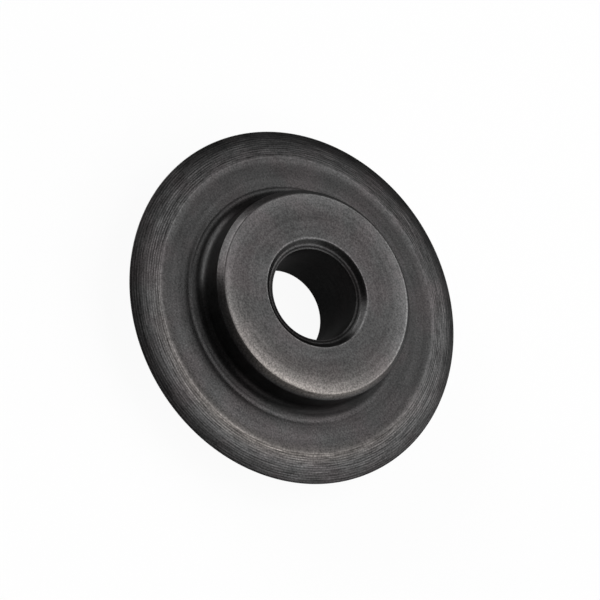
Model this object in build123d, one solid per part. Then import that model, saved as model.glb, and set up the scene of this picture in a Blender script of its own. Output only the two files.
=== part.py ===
# Pipe cutter wheel: the small hardened disc of a tube cutter, turned from bar as one piece.
#
# A hub with a pin bore carries a thin blade at its middle. Both sides are alike. Going outwards,
# each side of the section has a bore mouth with two countersinks, a flat hub face, a chamfer, the
# hub's wall, a foot fillet that ends in a low rounded step, a slightly crowned web, a rise to a
# rounded crest, the long bevel, and the steeper edge bevel that cuts.
#
# Millimetres. The wheel's axis is +Z, the blade's middle plane is z = 0, and the origin is the
# centre of the bore. At rest the wheel lies on the lower face of its hub.

from build123d import *
from math import radians, tan
import os

# hub and bore
bore_diameter = 4.8
hub_diameter = 11.1
hub_width = 4.56
hub_chamfer = 0.28
bore_mouth_chamfer = 0.24
bore_cone_width = 0.24
bore_cone_slope = 22.0  # degrees from the hub's face

# foot of the hub
foot_fillet = 0.52
foot_thickness = 0.73
foot_step_width = 0.2
foot_step_crown = 0.006  # how far the step bulges above its slope

# blade
blade_reach = 3.85  # from the hub's wall to the cutting edge
edge_flat = 0.04
edge_bevel_width = 0.58
edge_bevel_angle = 21.5  # degrees from the blade's middle plane
bevel_width = 1.5  # from the crest to the cutting edge
crest_thickness = 0.84
crest_round = 0.5
crest_rise_width = 0.4  # from the web to the crest
web_outer_thickness = 0.73
web_middle_thickness = 0.756
web_root_thickness = 0.68

# places worked out from the sizes
bore_radius = bore_diameter / 2
hub_radius = hub_diameter / 2
edge_radius = hub_radius + blade_reach
crest_radius = edge_radius - bevel_width
face_level = hub_width / 2
cone_outer_radius = bore_radius + bore_cone_width
mouth_radius = cone_outer_radius + bore_mouth_chamfer
cone_top_level = face_level - bore_mouth_chamfer
bore_end_level = cone_top_level - bore_cone_width * tan(radians(bore_cone_slope))
foot_level = foot_thickness / 2
foot_end_radius = hub_radius + foot_fillet
web_root_radius = foot_end_radius + foot_step_width
web_root_level = web_root_thickness / 2
web_outer_radius = crest_radius - crest_rise_width
web_outer_level = web_outer_thickness / 2
crest_level = crest_thickness / 2
shoulder_radius = edge_radius - edge_bevel_width
shoulder_level = edge_flat / 2 + edge_bevel_width * tan(radians(edge_bevel_angle))


def hub_side():
    """Outline of one side of the hub, from the end of the bore to the start of the foot."""
    return Polyline(
        (bore_radius, bore_end_level),
        (cone_outer_radius, cone_top_level),
        (mouth_radius, face_level),
        (hub_radius - hub_chamfer, face_level),
        (hub_radius, face_level - hub_chamfer),
        (hub_radius, foot_level + foot_fillet),
    )


def foot_side():
    """Hollow fillet from the hub's wall down to the blade, and the low step that it ends in."""
    straight_down = (0, -1)
    quarter_turn = 90
    step_top = (
        (foot_end_radius + web_root_radius) / 2,
        (foot_level + web_root_level) / 2 + foot_step_crown,
    )
    JernArc((hub_radius, foot_level + foot_fillet), straight_down, foot_fillet, quarter_turn)
    return ThreePointArc((foot_end_radius, foot_level), step_top, (web_root_radius, web_root_level))


def blade_side():
    """Crowned web, rounded crest, long bevel and edge bevel, from the step to the cutting edge."""
    web_middle = ((web_root_radius + web_outer_radius) / 2, web_middle_thickness / 2)
    shoulder = (shoulder_radius, shoulder_level)
    ThreePointArc((web_root_radius, web_root_level), web_middle, (web_outer_radius, web_outer_level))
    FilletPolyline(
        (web_outer_radius, web_outer_level),
        (crest_radius, crest_level),
        shoulder,
        radius=crest_round,
    )
    return Line(shoulder, (edge_radius, edge_flat / 2))


def cutter_wheel():
    """The whole wheel: one side's outline, its mirror image and the two closing lines, turned."""
    with BuildPart() as wheel:
        with BuildSketch(Plane.XZ):
            with BuildLine():
                hub_side()
                foot_side()
                blade_side()
                mirror(about=Plane.XZ)
                Line((bore_radius, -bore_end_level), (bore_radius, bore_end_level))
                Line((edge_radius, -edge_flat / 2), (edge_radius, edge_flat / 2))
            make_face()
        revolve(axis=Axis.Z)
    return wheel.part


os.makedirs("parts", exist_ok=True)
export_step(cutter_wheel(), "parts/cutter_wheel.step")
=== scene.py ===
"""Looks of a pipe cutter wheel, turned from a bar of tool steel and blackened.

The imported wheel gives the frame. One surface of revolution stands for its solid: it has the same
section, with the edges just broken and the spiral tool marks of the turning in its mesh. The
blackened steel is a material worked out from the place on the wheel. The camera has the angle and
the lens of the photograph. Lengths are in metres unless a name or comment says millimetres.
"""

import math

import bpy
import numpy as np
from mathutils import Matrix, Vector


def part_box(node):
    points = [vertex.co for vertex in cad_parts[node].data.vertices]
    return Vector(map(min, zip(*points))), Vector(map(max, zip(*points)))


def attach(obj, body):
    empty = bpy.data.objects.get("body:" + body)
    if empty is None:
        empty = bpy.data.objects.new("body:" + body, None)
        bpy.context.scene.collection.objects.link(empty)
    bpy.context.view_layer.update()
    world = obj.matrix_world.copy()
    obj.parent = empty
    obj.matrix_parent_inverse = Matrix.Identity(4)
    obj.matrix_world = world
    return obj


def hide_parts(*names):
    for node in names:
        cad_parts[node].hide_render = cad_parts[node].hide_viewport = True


MM = 0.001

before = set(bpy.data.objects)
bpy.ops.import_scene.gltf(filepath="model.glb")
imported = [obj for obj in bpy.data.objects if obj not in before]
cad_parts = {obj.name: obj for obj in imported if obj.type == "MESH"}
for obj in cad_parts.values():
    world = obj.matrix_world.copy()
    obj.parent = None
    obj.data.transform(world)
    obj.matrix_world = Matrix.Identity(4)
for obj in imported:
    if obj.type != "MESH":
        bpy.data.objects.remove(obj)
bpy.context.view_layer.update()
wheel_low, wheel_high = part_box("cutter_wheel")

# Section of one side of the wheel, in millimetres: radii from the axis, and levels from the
# middle plane of the blade.
EDGE_RADIUS = wheel_high.x / MM
FACE_LEVEL = wheel_high.z / MM
BORE_RADIUS = 2.4
BORE_CONE_WIDTH = 0.24
BORE_CONE_SLOPE = math.radians(22.0)
MOUTH_CHAMFER = 0.24
MOUTH_RADIUS = BORE_RADIUS + BORE_CONE_WIDTH + MOUTH_CHAMFER
HUB_RADIUS = 5.55
HUB_CHAMFER = 0.28
FACE_END_RADIUS = HUB_RADIUS - HUB_CHAMFER
FOOT_FILLET = 0.52
FOOT_RADIUS = HUB_RADIUS + FOOT_FILLET
FOOT_LEVEL = 0.365
FOOT_STEP_WIDTH = 0.2
FOOT_STEP_CROWN = 0.006
WEB_ROOT_LEVEL = 0.34
WEB_MIDDLE_RADIUS = 6.885
WEB_MIDDLE_LEVEL = 0.378
WEB_CROWN = 0.008
WEB_OUTER_RADIUS = 7.5
WEB_OUTER_LEVEL = 0.365
WEB_OUTER_ROUND = 1.2
CREST_RADIUS = 7.9
CREST_LEVEL = 0.42
CREST_ROUND = 0.5
EDGE_BEVEL_WIDTH = 0.58
EDGE_BEVEL_ANGLE = math.radians(21.5)
SHOULDER_ROUND = 2.2
EDGE_FLAT = 0.04

# The face falls a little towards its rim, in millimetres. The fall fades out down the hub's wall.
FACE_FALL_START = 4.1
FACE_FALL = 0.02
FACE_FALL_FADE = 1.0

# Finish of the turned surfaces, in millimetres.
BROKEN_EDGE = 0.035
RIM_ROUND = 0.05
TOOL_FEED = 0.115
TOOL_MARK_DEPTH = 0.0035

# How finely the section, in millimetres, its arcs and the turn are divided.
MARK_STEP = TOOL_FEED / 6
WEB_STEP = 0.05
PLAIN_STEP = 0.1
CROWN_POINTS = 6
ARC_STEP = math.radians(14)
LEAST_ARC_STEPS = 2
TURN_STEPS = 240

# The oxide, with painted light and shade: its share of the full tone at radii in millimetres, from
# the bore to the cutting edge.
OXIDE_AND_LIGHT_SHARES = [
    # bore, darkened with painted shade, and the cone in its mouth, with a ring of painted shade
    # between two painted highlights
    (BORE_RADIUS, 0.06),
    (BORE_RADIUS + BORE_CONE_WIDTH * 0.15, 0.7),
    (BORE_RADIUS + BORE_CONE_WIDTH * 0.4, 0.15),
    (BORE_RADIUS + BORE_CONE_WIDTH * 0.6, 0.15),
    (BORE_RADIUS + BORE_CONE_WIDTH * 0.85, 0.75),
    # chamfer of the mouth, darkened with painted shade
    (MOUTH_RADIUS - MOUTH_CHAMFER, 0.45),
    (MOUTH_RADIUS - MOUTH_CHAMFER * 0.8, 0.23),
    (MOUTH_RADIUS - MOUTH_CHAMFER * 0.1, 0.23),
    # face of the hub, with a painted highlight at its rim
    (MOUTH_RADIUS, 0.6),
    (4.2, 0.55),
    (4.7, 0.69),
    (FACE_END_RADIUS - 0.03, 1.05),
    # chamfer of the hub, darkened with painted shade
    (HUB_RADIUS - HUB_CHAMFER * 0.8, 0.37),
    (HUB_RADIUS, 0.32),
    # foot, darkened in its corner with painted shade
    (5.7, 0.2),
    (5.85, 0.25),
    (6.0, 0.27),
    (FOOT_RADIUS, 0.33),
    # web
    (6.2, 0.37),
    (WEB_OUTER_RADIUS, 0.37),
    # crest and long bevel, lighter than the web, with a painted highlight at the crest
    (CREST_RADIUS, 0.68),
    (8.1, 0.73),
    (8.3, 0.66),
    (8.7, 0.69),
    # edge bevel, darkened towards the cutting edge with painted shade
    (9.0, 0.47),
    (9.25, 0.34),
    (EDGE_RADIUS, 0.28),
]

# Colours of the oxide: cool and warm patches, and the browner tint of the painted highlight on one
# side. Sizes are in millimetres.
FULL_TONE = 0.096
COOL_OXIDE = (FULL_TONE, FULL_TONE * 0.99, FULL_TONE * 0.99, 1)
WARM_OXIDE = (FULL_TONE * 1.08, FULL_TONE, FULL_TONE * 1.01, 1)
HIGHLIGHT_OXIDE = (FULL_TONE * 1.09, FULL_TONE, FULL_TONE * 0.94, 1)
WARM_PATCH_SIZE = 2.2
WARM_PATCH_SPAN = (0.45, 0.65)
HIGHLIGHT_TINT_RING = (8.0, 0.6)

# Sheen of the oxide. The web is smoother than the rest, up to radii in millimetres where that ends.
GRAZING_TINT = (0.65, 0.65, 0.65, 1)
STRETCH_OF_SHEEN = 0.6
TURN_OF_SHEEN = 0.25
ROUGHNESS = 0.38
WEB_ROUGHNESS = 0.29
WEB_SHEEN_END = (7.2, 7.8)
ROUGHNESS_SPREAD = 0.16

# Marks in the oxide, in millimetres, and how far they spread its tone.
RING_ARC = 9.0
RING_PITCH = 0.2
RING_SPREAD = 0.8
GRAIN_SIZE = 0.09
GRAIN_SPREAD = 1.7
# The tool marks on the bevels are painted: shade in their hollows, lighter on their cusps.
MARK_SHADE_SPREAD = 0.7
MARK_MIDDLE = 0.33
PATCH_SIZE = 1.3
PATCH_SPREAD = 0.5
SCUFF_ARC = 1.0
SCUFF_PITCH = 0.07
SCUFF_SPREAD = 2.3
SMUDGE_SIZE = 0.7
FINE_RING_ARC = 4.0
FINE_RING_PITCH = 0.05
FINE_RING_DEPTH = 0.0012

# Noise: its middle, and how many finer layers it has.
NOISE_MIDDLE = 0.5
PLAIN_DETAIL = 2
RICH_DETAIL = 3

# Worn lines, painted highlights and painted shade. A line or ring has its radius and half width in
# millimetres. A side has its heading, and the cosines of the angle from it at which it begins and
# is full.
ON_THE_FACE = (FACE_LEVEL - HUB_CHAMFER, FACE_LEVEL - HUB_CHAMFER / 2)
EVEN_SHARE = 0.5
MOUTH_LINE = (MOUTH_RADIUS, 0.07)
MOUTH_RUB = 1.2
RIM_LINE = (FACE_END_RADIUS - RIM_ROUND / 2, 0.07)
RIM_RUB = 0.6
# Painted shade on one side of the hub's rim.
RIM_SHADE_SIDE = (-120.0, -0.2, 0.3)
RIM_SHADE = 1.1
# Painted highlight on one side of the hub's chamfer.
CHAMFER_LINE = (HUB_RADIUS - HUB_CHAMFER / 2, 0.2)
CHAMFER_HIGHLIGHT_SIDE = (55.0, 0.3, 0.8)
CHAMFER_HIGHLIGHT = 0.9
CREST_LINE = (CREST_RADIUS, 0.12)
CREST_RUB = 0.25
# Painted highlight on a band of the face, on one side.
FACE_BAND = (3.5, FACE_END_RADIUS)
FACE_BAND_SIDE = (-55.0, 0.2, 1.0)
FACE_BAND_HIGHLIGHT = 1.3
# Painted highlight on a line at the foot, and painted shade in the fillet above it, on one side.
FOOT_SIDE = (-20.0, 0.65, 1.0)
FOOT_LINE = (6.2, 0.15)
FOOT_HIGHLIGHT = 0.9
FILLET_RING = (5.78, 0.28)
FILLET_SHADE = 0.55
# The side with painted highlights on the web and in streaks on the crest, where the oxide is also
# browner.
HIGHLIGHT_SIDE = (-50.0, 0.1, 1.0)
WEB_RING = (7.4, 1.4)
WEB_HIGHLIGHT = 0.45
STREAK_RING = (CREST_RADIUS + 0.2, 0.34)
STREAK_ARC = 2.5
STREAK_PITCH = 0.12
STREAK_SPAN = (0.42, 0.68)
STREAK_HIGHLIGHT = 1.1
# Painted shade on the bevel, on the side opposite the painted highlights.
SHADED_BEVEL_SIDE = (130.0, 0.75, 1.0)
SHADED_BEVEL_RING = (8.6, 1.0)
BEVEL_SHADE = 0.22

# The paper under the wheel: its tone in the light, and how much of it is its own white, for the
# camera and for mirrored rays. The room: how bright it is for the paper and for mirrored rays.
WHITE = (1, 1, 1, 1)
FLOOR_HALF_WIDTH = 1.5
FLOOR_GAP = 0.01 * MM
PAPER_GREY = (0.6, 0.6, 0.6, 1)
SEEN_WHITE = 0.94
MIRRORED_WHITE = 0.2
ROOM_LIGHT = 0.02
MIRRORED_ROOM = 0.12

# Soft studio lamps: name, azimuth and elevation in degrees, width and height, and power in watts.
# Most of the light comes from the far right and from overhead. A wide low lamp stands on the left.
LAMP_DISTANCE = 0.5
LAMPS = [
    ("low_right_lamp", 38, 9, 0.36, 0.15, 0.45),
    ("right_softbox", 12, 28, 0.30, 0.24, 0.76),
    ("back_right_softbox", 60, 33, 0.38, 0.28, 0.55),
    ("high_right_softbox", 0, 50, 0.24, 0.24, 0.27),
    ("back_softbox", 90, 48, 0.26, 0.20, 0.23),
    ("overhead_softbox", 75, 74, 0.34, 0.28, 0.70),
    ("left_strip", 187, 14, 0.445, 0.24, 2.6),
    ("back_left_strip", 128, 16, 0.20, 0.12, 0.06),
    ("front_fill", 315, 11, 0.40, 0.16, 0.18),
]

# The camera, fitted to the circles of the wheel in the photograph, which is 600 pixels square.
IMAGE_SIZE_PX = 600
WHEEL_CENTRE_PX = (296.85, 304.75)
LENS_MM = 146.2
SENSOR_MM = 36.0
CAMERA_ELEVATION = math.radians(57.08)
CAMERA_ROLL = math.radians(59.58)
CAMERA_DEPTH = 125.2 * MM
NEAREST_SEEN = 0.01
FARTHEST_SEEN = 10


def straight(start, end, step):
    """Points, without the start, that divide a straight run into equal steps of about a length."""
    count = max(int(round(np.linalg.norm(end - start) / step)), 1)
    return start + np.linspace(0, 1, count + 1)[1:, None] * (end - start)


def rounded(corners, radii, steps):
    """Points along a line of corners, where each inner corner is an arc tangent to both its runs.

    An arc reaches radius * tan(turn / 2) from its corner, where turn is the change of direction,
    and its centre stands a radius to the side that the line turns to. Each run has its own step.
    """
    corners = np.array(corners, float)
    runs = np.diff(corners, axis=0)
    ways = runs / np.linalg.norm(runs, axis=1)[:, None]
    points = [corners[:1]]
    bends = zip(corners[1:-1], ways[:-1], ways[1:], radii, steps)
    for corner, way_in, way_out, radius, step in bends:
        turn = math.atan2(way_in[0] * way_out[1] - way_in[1] * way_out[0], way_in @ way_out)
        arc_start = corner - way_in * radius * math.tan(abs(turn) / 2)
        points.append(straight(points[-1][-1], arc_start, step))
        to_centre = np.sign(turn) * np.array([-way_in[1], way_in[0]])
        arc_steps = max(int(abs(turn) / ARC_STEP), LEAST_ARC_STEPS)
        angle = abs(turn) * np.linspace(0, 1, arc_steps + 1)[1:, None]
        along_arc = np.sin(angle) * way_in + (1 - np.cos(angle)) * to_centre
        points.append(arc_start + radius * along_arc)
    points.append(straight(points[-1][-1], corners[-1], steps[-1]))
    return np.concatenate(points)


def crowned(start, end, crown):
    """Points, without the start, on a circular arc that stands a crown above its chord's middle."""
    top = (start + end) / 2 + (0, crown)
    # The centre is where the perpendicular bisectors of the two half chords meet.
    halves = np.array([top - start, end - top])
    middles = np.array([(top + start) / 2, (end + top) / 2])
    centre = np.linalg.solve(halves, (halves * middles).sum(1))
    radius = np.linalg.norm(start - centre)
    ends = np.array([start, end]) - centre
    first, last = np.arctan2(ends[:, 1], ends[:, 0])
    angle = np.linspace(first, last, CROWN_POINTS + 1)[1:]
    return centre + radius * np.stack([np.cos(angle), np.sin(angle)], 1)


def side_outline():
    """One side of the section, from the middle of the bore to the cutting edge.

    Returns points (radius, level) in millimetres and, for each, its share of TOOL_MARK_DEPTH.
    """
    cone_radius = BORE_RADIUS + BORE_CONE_WIDTH
    cone_level = FACE_LEVEL - MOUTH_CHAMFER
    bore_end = cone_level - BORE_CONE_WIDTH * math.tan(BORE_CONE_SLOPE)
    hub = rounded(
        [
            (BORE_RADIUS, 0),
            (BORE_RADIUS, bore_end),
            (cone_radius, cone_level),
            (MOUTH_RADIUS, FACE_LEVEL),
            (FACE_END_RADIUS, FACE_LEVEL),
            (HUB_RADIUS, FACE_LEVEL - HUB_CHAMFER),
            (HUB_RADIUS, FOOT_LEVEL),
            (FOOT_RADIUS, FOOT_LEVEL),
        ],
        [BROKEN_EDGE] * 3 + [RIM_ROUND, BROKEN_EDGE, FOOT_FILLET],
        [PLAIN_STEP] * 7,
    )
    outwards = np.clip((hub[:, 0] - FACE_FALL_START) / (HUB_RADIUS - FACE_FALL_START), 0, 1)
    above_foot = np.clip((hub[:, 1] - FOOT_LEVEL - FOOT_FILLET) / FACE_FALL_FADE, 0, 1)
    hub[:, 1] -= FACE_FALL * outwards**2 * above_foot
    foot_end = np.array([FOOT_RADIUS, FOOT_LEVEL])
    web_start = np.array([FOOT_RADIUS + FOOT_STEP_WIDTH, WEB_ROOT_LEVEL])
    web_middle = np.array([WEB_MIDDLE_RADIUS, WEB_MIDDLE_LEVEL])
    foot_step = crowned(foot_end, web_start, FOOT_STEP_CROWN)
    web = crowned(web_start, web_middle, WEB_CROWN)
    shoulder_level = EDGE_FLAT / 2 + EDGE_BEVEL_WIDTH * math.tan(EDGE_BEVEL_ANGLE)
    blade = rounded(
        [
            web_middle,
            (WEB_OUTER_RADIUS, WEB_OUTER_LEVEL),
            (CREST_RADIUS, CREST_LEVEL),
            (EDGE_RADIUS - EDGE_BEVEL_WIDTH, shoulder_level),
            (EDGE_RADIUS, EDGE_FLAT / 2),
        ],
        [WEB_OUTER_ROUND, CREST_ROUND, SHOULDER_ROUND],
        [WEB_STEP] * 2 + [MARK_STEP] * 2,
    )
    # The foot fillet ends where the hub does, so the hub's last point is there twice and goes.
    points = np.concatenate([hub[:-1], foot_step, web, blade[1:]])
    marked = np.clip((points[:, 0] - CREST_RADIUS) / TOOL_FEED, 0, 1)
    marked *= np.clip((EDGE_RADIUS - points[:, 0]) / TOOL_FEED, 0, 1)
    return points, marked


def wheel_surface():
    """The wheel as a surface of revolution with a spiral tool mark on its bevels.

    A point of the section at radius r and level z goes to (r cos a, r sin a, z) for each angle a.
    The tool leaves a hollow as it feeds outwards, one for each turn. Along the section's normal,
    the surface stands depth * (2 * fraction(r / feed - a / one turn) - 1) ** 2 proud, which is a
    cusp between two hollows.
    """
    upper, marked = side_outline()
    section = np.concatenate([upper, upper[:0:-1] * (1, -1)])
    marks = np.concatenate([marked, marked[:0:-1]])
    along = np.roll(section, -1, 0) - np.roll(section, 1, 0)
    normal = np.stack([-along[:, 1], along[:, 0]], 1) / np.linalg.norm(along, axis=1)[:, None]
    turn = np.linspace(0, 1, TURN_STEPS, endpoint=False)
    feed_phase = section[:, :1] / TOOL_FEED - turn
    cusp = (2 * (feed_phase - np.floor(feed_phase)) - 1) ** 2
    proud = TOOL_MARK_DEPTH * marks[:, None] * cusp
    radius = (section[:, :1] + proud * normal[:, :1]) * MM
    level = (section[:, 1:] + proud * normal[:, 1:]) * MM
    angle = 2 * math.pi * turn
    return np.stack([radius * np.cos(angle), radius * np.sin(angle), level], 2)


def skin(name, grid):
    """Mesh object over a grid of points that closes on itself both ways, with faces outwards."""
    rows, columns = grid.shape[:2]
    index = np.arange(rows * columns).reshape(rows, columns)
    row_on = np.roll(index, -1, 0)
    quads = np.stack([index, row_on, np.roll(row_on, -1, 1), np.roll(index, -1, 1)], 2)
    mesh = bpy.data.meshes.new(name)
    mesh.vertices.add(rows * columns)
    mesh.vertices.foreach_set("co", grid.astype(np.float32).ravel())
    mesh.loops.add(quads.size)
    mesh.loops.foreach_set("vertex_index", quads.ravel())
    mesh.polygons.add(rows * columns)
    mesh.polygons.foreach_set("loop_start", np.arange(0, quads.size, 4))
    mesh.polygons.foreach_set("use_smooth", np.ones(rows * columns, bool))
    mesh.update(calc_edges=True)
    mesh.validate()
    piece = bpy.data.objects.new(name, mesh)
    bpy.context.scene.collection.objects.link(piece)
    return piece


class Value:
    """A number that varies over a surface: one output socket.

    Sums, products and the like on it add Math nodes.
    """

    def __init__(self, nodes, socket):
        self.nodes = nodes
        self.socket = socket

    def math(self, operation, *others):
        """A Math node on this number and the others."""
        values = dict(enumerate((self,) + others))
        return self.nodes.add("ShaderNodeMath", {"operation": operation}, values)

    def __add__(self, other):
        return self.math("ADD", other)

    def __sub__(self, other):
        return self.math("SUBTRACT", other)

    def __rsub__(self, other):
        return self * -1 + other

    def __mul__(self, other):
        return self.math("MULTIPLY", other)

    def __truediv__(self, other):
        return self.math("DIVIDE", other)

    def __pow__(self, other):
        return self.math("POWER", other)

    def __abs__(self):
        return self.math("ABSOLUTE")

    __radd__ = __add__
    __rmul__ = __mul__

    def clipped(self):
        """The number kept between 0 and 1."""
        return self.nodes.add("ShaderNodeClamp", {}, {"Value": self})

    def rise(self, start, end):
        """0 up to start, 1 from end on, and an even slope between them."""
        return ((self - start) / (end - start)).clipped()

    def line_at(self, place, width):
        """1 at the place, down to 0 at width on both sides of it."""
        return (1 - abs(self - place) / width).clipped()

    def spread(self, share):
        """Noise as a factor about 1: share times as far from 1 as the noise is from its middle."""
        return 1 + share * (self - NOISE_MIDDLE)


class Nodes:
    """The nodes of a material or of the world."""

    def __init__(self, owner):
        owner.use_nodes = True
        self.tree = owner.node_tree
        self.tree.nodes.clear()

    def add(self, kind, settings, sockets, output=0):
        """A new node of that kind: its settings, then a value or a link for each socket.

        Gives one of its outputs.
        """
        node = self.tree.nodes.new(kind)
        for setting, value in settings.items():
            if setting == "stops":
                self.set_stops(node.color_ramp, value)
            else:
                setattr(node, setting, value)
        for socket, value in sockets.items():
            if isinstance(value, Value):
                self.tree.links.new(value.socket, node.inputs[socket])
            else:
                node.inputs[socket].default_value = value
        return Value(self, node.outputs[output]) if node.outputs else None

    def set_stops(self, ramp, stops):
        """Greys at places from 0 to 1, in order. A new ramp has two stops, and one goes first."""
        ramp.elements.remove(ramp.elements[1])
        for count, (place, grey) in enumerate(stops):
            element = ramp.elements[0] if count == 0 else ramp.elements.new(place)
            element.position = place
            element.color = (grey, grey, grey, 1)

    def vector(self, operation, first, second, output="Vector"):
        """A Vector Math node on two vectors."""
        sockets = {0: first, 1: second}
        return self.add("ShaderNodeVectorMath", {"operation": operation}, sockets, output)

    def scaled(self, vector, factor):
        """A vector or colour times a number."""
        sockets = {0: vector, "Scale": factor}
        return self.add("ShaderNodeVectorMath", {"operation": "SCALE"}, sockets)

    def colour_mix(self, share, first, second):
        """The first colour where the share is 0 and the second where it is 1."""
        return self.add("ShaderNodeMix", {"data_type": "RGBA"}, {0: share, 6: first, 7: second}, 2)

    def noise(self, place, scale, detail):
        """Noise between 0 and 1, with its middle at NOISE_MIDDLE."""
        sockets = {"Vector": place, "Scale": scale, "Detail": detail}
        return self.add("ShaderNodeTexNoise", {}, sockets)

    def ray(self, kind):
        """1 for rays of that kind and 0 for others."""
        return self.add("ShaderNodeLightPath", {}, {}, kind)


class WheelPlace:
    """Where a point of the surface lies on the wheel, in millimetres."""

    def __init__(self, nodes):
        self.nodes = nodes
        point = nodes.add("ShaderNodeTexCoord", {}, {}, "Object")
        self.point = nodes.scaled(point, 1 / MM)
        across = nodes.vector("MULTIPLY", self.point, (1, 1, 0))
        self.radius = nodes.vector("LENGTH", across, (0, 0, 0), "Value")
        self.heading = nodes.vector("NORMALIZE", across, (0, 0, 0))
        self.height = abs(nodes.vector("DOT_PRODUCT", self.point, (0, 0, 1), "Value"))

    def patches(self, size, detail):
        """Noise with patches of about that size."""
        return self.nodes.noise(self.point, 1 / size, detail)

    def turned_noise(self, arc, pitch, detail):
        """Noise drawn out along the turning: arc long on the rim, in rings about a pitch apart.

        It is plain noise at (heading * rim / arc, (radius - height) / pitch), so it has no seam.
        """
        depth = (self.radius - self.height) / pitch
        rings = self.nodes.add("ShaderNodeCombineXYZ", {}, {"Z": depth})
        round_the_rim = self.nodes.scaled(self.heading, EDGE_RADIUS / arc)
        return self.nodes.noise(self.nodes.vector("ADD", round_the_rim, rings), 1.0, detail)

    def towards(self, heading_deg):
        """Cosine of the angle from a heading to the point's, where 0 is +X and 90 is +Y."""
        angle = math.radians(heading_deg)
        way = (math.cos(angle), math.sin(angle), 0)
        return self.nodes.vector("DOT_PRODUCT", self.heading, way, "Value")

    def side(self, heading_deg, least, most):
        """1 towards a heading and 0 away from it, as the cosine rises from least to most."""
        return self.towards(heading_deg).rise(least, most)

    def tool_marks(self):
        """1 on the cusps between the turns of the tool and 0 in the hollows, as in the mesh."""
        turn = self.towards(90).math("ARCTAN2", self.towards(0)) / (2 * math.pi)
        return (2 * (self.radius / TOOL_FEED - turn).math("FRACT") - 1) ** 2


def oxide_and_light_tone(place):
    """How bright the oxide is, with painted light and shade: by zone, with rings, grain, tool
    marks, scuffs, wear lines, and painted highlights and shade in places.
    """
    stops = [(radius / EDGE_RADIUS, share) for radius, share in OXIDE_AND_LIGHT_SHARES]
    zone = place.nodes.add("ShaderNodeValToRGB", {"stops": stops}, {0: place.radius / EDGE_RADIUS})
    rings = place.turned_noise(RING_ARC, RING_PITCH, RICH_DETAIL)
    grain = place.patches(GRAIN_SIZE, PLAIN_DETAIL)
    patches = place.patches(PATCH_SIZE, RICH_DETAIL)
    bevels = place.radius.rise(CREST_RADIUS - TOOL_FEED, CREST_RADIUS + TOOL_FEED)
    # Painted shade in the hollows of the tool marks, lighter on their cusps.
    marks = 1 + MARK_SHADE_SPREAD * (place.tool_marks() - MARK_MIDDLE) * bevels
    scuffs = place.turned_noise(SCUFF_ARC, SCUFF_PITCH, PLAIN_DETAIL).spread(SCUFF_SPREAD * bevels)
    mottled = rings.spread(RING_SPREAD) * grain.spread(GRAIN_SPREAD) * patches.spread(PATCH_SPREAD)
    return zone * mottled * marks * scuffs * (1 + wear_and_painted_light(place, grain))


def wear_and_painted_light(place, grain):
    """How much brighter the metal is with wear and painted highlights, and darker with painted
    shade, broken up by grain.

    Worn lines lie on the mouth, the hub's rim and the crest. One side of the wheel has painted
    highlights: a band of the face, the web, streaks on the crest and a line at the foot, and there
    the fillet above has painted shade. The hub's rim has painted shade on that side, and its
    chamfer a painted highlight on the other. The bevel has painted shade on the opposite side.
    """
    radius, side = place.radius, place.side
    on_the_face = place.height.rise(*ON_THE_FACE)
    mouth = MOUTH_RUB * radius.line_at(*MOUTH_LINE) * on_the_face
    # The rim's wear line, less the painted shade on one side.
    rim = (RIM_RUB - RIM_SHADE * side(*RIM_SHADE_SIDE)) * radius.line_at(*RIM_LINE)
    # Painted highlight on one side of the hub's chamfer.
    chamfer = CHAMFER_HIGHLIGHT * radius.line_at(*CHAMFER_LINE) * side(*CHAMFER_HIGHLIGHT_SIDE)
    crest = CREST_RUB * radius.line_at(*CREST_LINE)
    # Painted highlight on a band of the face, on one side.
    band = FACE_BAND_HIGHLIGHT * (radius.rise(*FACE_BAND) * side(*FACE_BAND_SIDE)) ** 2 * on_the_face
    # Painted highlight at the foot, less painted shade in the fillet, both on one side.
    foot = FOOT_HIGHLIGHT * radius.line_at(*FOOT_LINE) - FILLET_SHADE * radius.line_at(*FILLET_RING)
    # Painted highlights on one side: streaks on the crest and a broad one on the web.
    streaks = place.turned_noise(STREAK_ARC, STREAK_PITCH, PLAIN_DETAIL).rise(*STREAK_SPAN)
    streaks = STREAK_HIGHLIGHT * streaks * radius.line_at(*STREAK_RING)
    blade = WEB_HIGHLIGHT * radius.line_at(*WEB_RING) + streaks
    # Painted shade on the bevel, on the side opposite the painted highlights.
    shaded_bevel = BEVEL_SHADE * radius.line_at(*SHADED_BEVEL_RING) * side(*SHADED_BEVEL_SIDE)
    # Wear lines, with painted highlights and painted shade on one side or the other.
    wear_and_light = mouth + rim + chamfer + crest + band
    wear_and_light = wear_and_light + foot * side(*FOOT_SIDE) + blade * side(*HIGHLIGHT_SIDE) - shaded_bevel
    return wear_and_light * (EVEN_SHARE + grain)


def oxide_colour(place):
    """Colour of the oxide at its full tone: cool and warm patches, browner with the painted
    highlight on one side.
    """
    warm = place.patches(WARM_PATCH_SIZE, PLAIN_DETAIL).rise(*WARM_PATCH_SPAN)
    outer_face = place.radius.rise(*FACE_BAND) * place.height.rise(*ON_THE_FACE)
    # Browner tint of the painted highlight on one side, on the blade and the outer face.
    highlight_tint = place.side(*HIGHLIGHT_SIDE) * (place.radius.line_at(*HIGHLIGHT_TINT_RING) + outer_face)
    fresh = place.nodes.colour_mix(warm, COOL_OXIDE, WARM_OXIDE)
    return place.nodes.colour_mix(highlight_tint, fresh, HIGHLIGHT_OXIDE)


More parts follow.
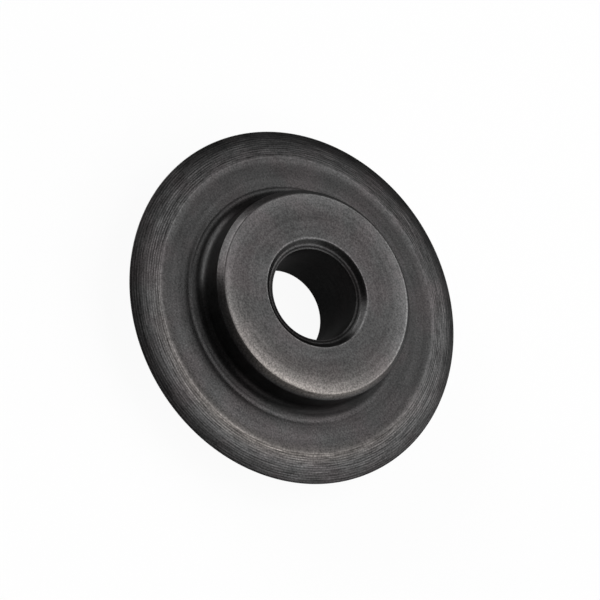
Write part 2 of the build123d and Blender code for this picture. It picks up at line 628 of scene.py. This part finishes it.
def oxide_roughness(place):
    """Roughness of the oxide: smudged, and smoother on the web, up to the rise of the crest."""
    smudges = place.patches(SMUDGE_SIZE, RICH_DETAIL)
    web = place.radius.rise(HUB_RADIUS, FOOT_RADIUS) * (1 - place.radius.rise(*WEB_SHEEN_END))
    smudged = ROUGHNESS_SPREAD * (smudges - NOISE_MIDDLE)
    return ROUGHNESS + (WEB_ROUGHNESS - ROUGHNESS) * web + smudged


def blackened_steel():
    """Turned and blackened steel: dark metal whose sheen is drawn out by its fine rings."""
    steel = bpy.data.materials.new("turned_black_steel")
    nodes = Nodes(steel)
    place = WheelPlace(nodes)
    fine_rings = place.turned_noise(FINE_RING_ARC, FINE_RING_PITCH, PLAIN_DETAIL)
    bump = nodes.add(
        "ShaderNodeBump",
        {},
        {"Height": fine_rings, "Distance": FINE_RING_DEPTH * MM, "Strength": 1.0},
    )
    surface = nodes.add(
        "ShaderNodeBsdfPrincipled",
        {},
        {
            "Base Color": nodes.scaled(oxide_colour(place), oxide_and_light_tone(place)),
            "Metallic": 1.0,
            "Specular Tint": GRAZING_TINT,
            "Roughness": oxide_roughness(place),
            "Anisotropic": STRETCH_OF_SHEEN,
            "Anisotropic Rotation": TURN_OF_SHEEN,
            "Normal": bump,
        },
    )
    nodes.add("ShaderNodeOutputMaterial", {}, {"Surface": surface})
    return steel


def floor_paper():
    """White paper: it keeps the wheel's shadow, and most of its white is its own for the camera.

    From below it is clear, so that the underside of the wheel can be looked at.
    """
    paper = bpy.data.materials.new("floor_paper")
    nodes = Nodes(paper)
    seen, mirrored = nodes.ray("Is Camera Ray"), nodes.ray("Is Glossy Ray")
    colour = nodes.colour_mix(seen, PAPER_GREY, WHITE)
    matt = nodes.add("ShaderNodeBsdfDiffuse", {}, {"Color": colour})
    white = nodes.add("ShaderNodeEmission", {}, {"Color": WHITE, "Strength": 1.0})
    own_white = (seen * SEEN_WHITE + mirrored * MIRRORED_WHITE).clipped()
    top = nodes.add("ShaderNodeMixShader", {}, {0: own_white, 1: matt, 2: white})
    clear = nodes.add("ShaderNodeBsdfTransparent", {}, {})
    from_below = nodes.add("ShaderNodeNewGeometry", {}, {}, "Backfacing")
    surface = nodes.add("ShaderNodeMixShader", {}, {0: from_below, 1: top, 2: clear})
    nodes.add("ShaderNodeOutputMaterial", {}, {"Surface": surface})
    return paper


def floor():
    """A square of paper, far wider than the view, just under the wheel's lower face."""
    half = FLOOR_HALF_WIDTH
    level = wheel_low.z - FLOOR_GAP
    mesh = bpy.data.meshes.new("floor")
    near = [(-half, -half, level), (half, -half, level)]
    far = [(half, half, level), (-half, half, level)]
    mesh.from_pydata(near + far, [], [(0, 1, 2, 3)])
    paper = bpy.data.objects.new("floor", mesh)
    bpy.context.scene.collection.objects.link(paper)
    mesh.materials.append(floor_paper())


def camera():
    """The photograph's camera: it looks along +Y and down, turned about its own axis by its roll.

    The wheel's centre lies CAMERA_DEPTH ahead of it, and beside its axis by the offset in pixels of
    WHEEL_CENTRE_PX from the middle of the image.
    """
    ahead = Vector((0, math.cos(CAMERA_ELEVATION), -math.sin(CAMERA_ELEVATION)))
    level_right = Vector((1, 0, 0))
    level_up = level_right.cross(ahead)
    right = math.cos(CAMERA_ROLL) * level_right + math.sin(CAMERA_ROLL) * level_up
    up = right.cross(ahead)
    pixel = CAMERA_DEPTH * SENSOR_MM / LENS_MM / IMAGE_SIZE_PX
    offset_right = (WHEEL_CENTRE_PX[0] - IMAGE_SIZE_PX / 2) * pixel
    offset_down = (WHEEL_CENTRE_PX[1] - IMAGE_SIZE_PX / 2) * pixel
    place = -(CAMERA_DEPTH * ahead + offset_right * right - offset_down * up)
    lens = bpy.data.cameras.new("camera")
    lens.lens = LENS_MM
    lens.sensor_width = SENSOR_MM
    lens.clip_start = NEAREST_SEEN
    lens.clip_end = FARTHEST_SEEN
    eye = bpy.data.objects.new("camera", lens)
    eye.matrix_world = Matrix.Translation(place) @ Matrix((right, up, -ahead)).transposed().to_4x4()
    bpy.context.scene.collection.objects.link(eye)
    bpy.context.scene.camera = eye


def soft_lamp(name, azimuth_deg, elevation_deg, width, height, power):
    """Area lamp that faces the wheel. Azimuth 0 is +X and 90 is +Y. Elevation is from level."""
    azimuth, elevation = math.radians(azimuth_deg), math.radians(elevation_deg)
    outwards = Vector(
        (
            math.cos(elevation) * math.cos(azimuth),
            math.cos(elevation) * math.sin(azimuth),
            math.sin(elevation),
        )
    )
    light = bpy.data.lights.new(name, "AREA")
    light.shape = "RECTANGLE"
    light.size = width
    light.size_y = height
    light.energy = power
    lamp = bpy.data.objects.new(name, light)
    lamp.visible_camera = False
    facing = outwards.to_track_quat("Z", "Y").to_matrix().to_4x4()
    lamp.matrix_world = Matrix.Translation(LAMP_DISTANCE * outwards) @ facing
    bpy.context.scene.collection.objects.link(lamp)


def room():
    """A dim room: the metal mirrors it brighter than it lights the paper, and it is seen white."""
    world = bpy.data.worlds.new("room")
    nodes = Nodes(world)
    seen = (1 - ROOM_LIGHT) * nodes.ray("Is Camera Ray")
    mirrored = (MIRRORED_ROOM - ROOM_LIGHT) * nodes.ray("Is Glossy Ray")
    strength = ROOM_LIGHT + seen + mirrored
    walls = nodes.add("ShaderNodeBackground", {}, {"Color": WHITE, "Strength": strength})
    nodes.add("ShaderNodeOutputWorld", {}, {"Surface": walls})
    bpy.context.scene.world = world


camera()
for lamp_row in LAMPS:
    soft_lamp(*lamp_row)
room()
floor()
wheel = skin("turned_wheel", wheel_surface())
wheel.data.materials.append(blackened_steel())
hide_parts("cutter_wheel")
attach(wheel, "root")
bpy.context.scene.view_settings.view_transform = "Standard"
